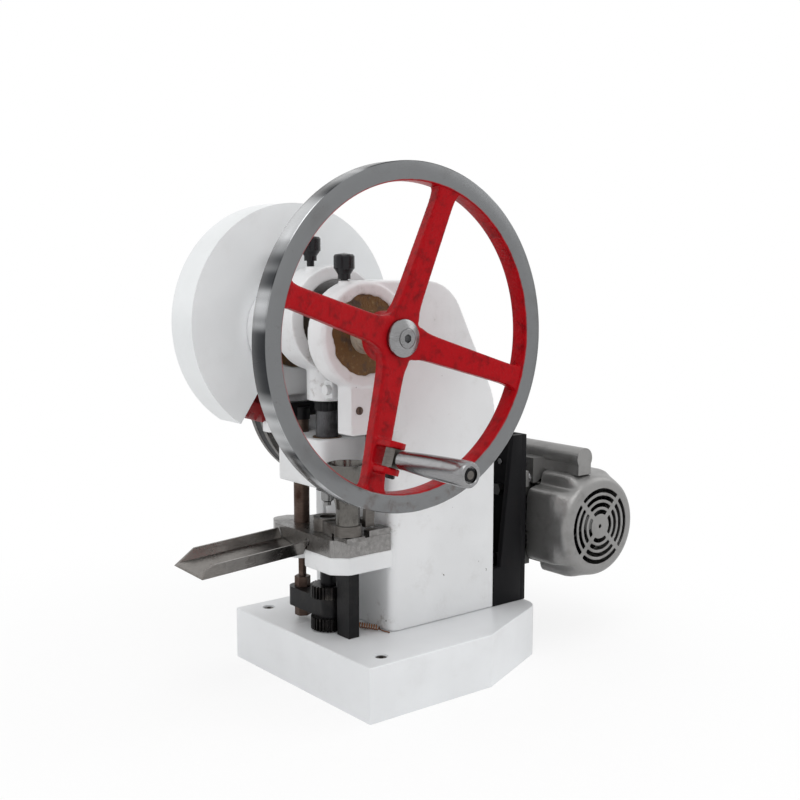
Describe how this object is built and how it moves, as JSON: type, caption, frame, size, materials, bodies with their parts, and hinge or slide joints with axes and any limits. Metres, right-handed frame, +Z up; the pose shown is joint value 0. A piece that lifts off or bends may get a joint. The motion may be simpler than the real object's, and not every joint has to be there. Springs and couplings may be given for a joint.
{
  "type": "single-punch tablet press",
  "caption": "Bench tablet press with an eccentric ram, swinging feed shoe, lower punch lift, spoked handwheel with a folding crank, and a geared belt-driven motor.",
  "frame": {"origin": "the point under the ram's axis on the plane that the base stands on", "axes": "+X towards the handwheel, -Y towards the discharge chute, +Z up"},
  "size_m": [0.437, 0.568, 0.571],
  "materials": {
    "white_paint": "smooth white enamel on cast iron",
    "black_paint": "black enamel on cast iron",
    "red_paint": "red enamel with a machined steel rim",
    "gear_red": "red primer on cast iron",
    "steel": "turned and ground steel",
    "cast_grey": "machined cast iron",
    "bronze": "oiled bronze",
    "black_oxide": "blackened steel",
    "polished": "polished stainless steel",
    "belt_rubber": "vee belt rubber",
    "motor_alu": "silver paint on cast and pressed metal",
    "black_plastic": "moulded black plastic"
  },
  "bodies": {
    "root": {"base_casting": "white_paint", "frame_casting": "white_paint", "main_bearing_bushes": "bronze", "ram_guide_bush": "bronze", "countershaft_bushes": "bronze", "bearing_oil_cups": "black_plastic", "die_plate": "steel", "die": "steel", "die_lock_screw": "black_oxide", "gear_lock_post": "black_oxide", "shoe_pivot": "steel", "lever_pivot_pin": "black_oxide", "discharge_chute": "polished", "gear_guard": "white_paint", "drive_belt": "belt_rubber", "motor_housing": "motor_alu", "motor_end_shield": "motor_alu", "terminal_box": "motor_alu", "fan_cover": "motor_alu", "motor_bolts": "steel", "motor_bracket": "black_paint"},
    "drive_shaft": {"main_shaft": "steel", "feed_cam": "steel", "lift_cam": "steel", "main_gear": "gear_red", "gear_nut": "steel", "handwheel": "red_paint", "wheel_cap_nut": "steel"},
    "eccentric": {"eccentric_sleeve": "steel"},
    "ram": {"eccentric_strap": "white_paint", "strap_clamp_screw": "black_oxide", "adjusting_screw": "steel", "ram_lock_nut": "black_oxide", "ram": "steel", "upper_punch": "steel", "punch_set_screw": "black_oxide", "strap_oil_cup": "black_plastic"},
    "countershaft": {"countershaft": "steel", "drive_pinion": "steel", "belt_pulley": "cast_grey", "pulley_nut": "steel"},
    "motor_rotor": {"rotor_shaft": "steel", "cooling_fan": "black_plastic", "motor_pulley": "cast_grey"},
    "crank": {"crank_spindle": "steel", "crank_end_washer": "steel"},
    "grip": {"crank_grip": "polished"},
    "shoe": {"feed_shoe": "steel", "feed_funnel": "polished"},
    "feed_lever": {"feed_lever": "steel", "lever_roller": "steel"},
    "lifter": {"lift_frame": "black_oxide", "lift_roller": "steel", "lift_rod": "steel", "lift_yoke": "black_oxide", "lift_rod_nuts": "steel", "lower_spindle": "steel", "lower_punch": "steel", "ejection_gear": "steel", "filling_gear": "steel"}
  },
  "joints": [
    {"name": "shaft_turn", "type": "hinge", "parent": "root", "child": "drive_shaft", "pos_m": [0, 0, 0.396], "axis": [1, 0, 0], "continuous": true},
    {"name": "sleeve_turn", "type": "hinge", "parent": "drive_shaft", "child": "eccentric", "pos_m": [0, 0, 0.403], "axis": [1, 0, 0], "continuous": true},
    {"name": "ram_turn", "type": "hinge", "parent": "eccentric", "child": "ram", "pos_m": [0, 0, 0.41], "axis": [1, 0, 0], "continuous": true},
    {"name": "countershaft_turn", "type": "hinge", "parent": "root", "child": "countershaft", "pos_m": [-0.05, 0.1076, 0.3178], "axis": [1, 0, 0], "continuous": true},
    {"name": "motor_turn", "type": "hinge", "parent": "root", "child": "motor_rotor", "pos_m": [0, 0.331, 0.149], "axis": [1, 0, 0], "continuous": true},
    {"name": "crank_fold", "type": "hinge", "parent": "drive_shaft", "child": "crank", "pos_m": [0.167, -0.03708, 0.28187], "axis": [0, -0.309, -0.9511], "range_deg": [0, 90]},
    {"name": "grip_spin", "type": "hinge", "parent": "crank", "child": "grip", "pos_m": [0.167, -0.03708, 0.28187], "axis": [1, 0, 0], "continuous": true},
    {"name": "shoe_swing", "type": "hinge", "parent": "root", "child": "shoe", "pos_m": [0.052, -0.01, 0.18], "axis": [0, 0, 1], "range_deg": [-26, 0]},
    {"name": "feed_lever_rock", "type": "hinge", "parent": "root", "child": "feed_lever", "pos_m": [0.042, 0.037, 0.436], "axis": [1, 0, 0], "range_deg": [0, 2.6]},
    {"name": "punch_lift", "type": "slide", "parent": "root", "child": "lifter", "axis": [0, 0, 1], "range_m": [0, 0.008]}
  ],
  "couplings": [
    {"joint": "sleeve_turn", "follows": "shaft_turn", "ratio": -2},
    {"joint": "ram_turn", "follows": "shaft_turn", "ratio": 1},
    {"joint": "countershaft_turn", "follows": "shaft_turn", "ratio": -4.4286},
    {"joint": "motor_turn", "follows": "shaft_turn", "ratio": -18.228},
    {"joint": "feed_lever_rock", "follows": "shoe_swing", "ratio": -0.1}
  ]
}
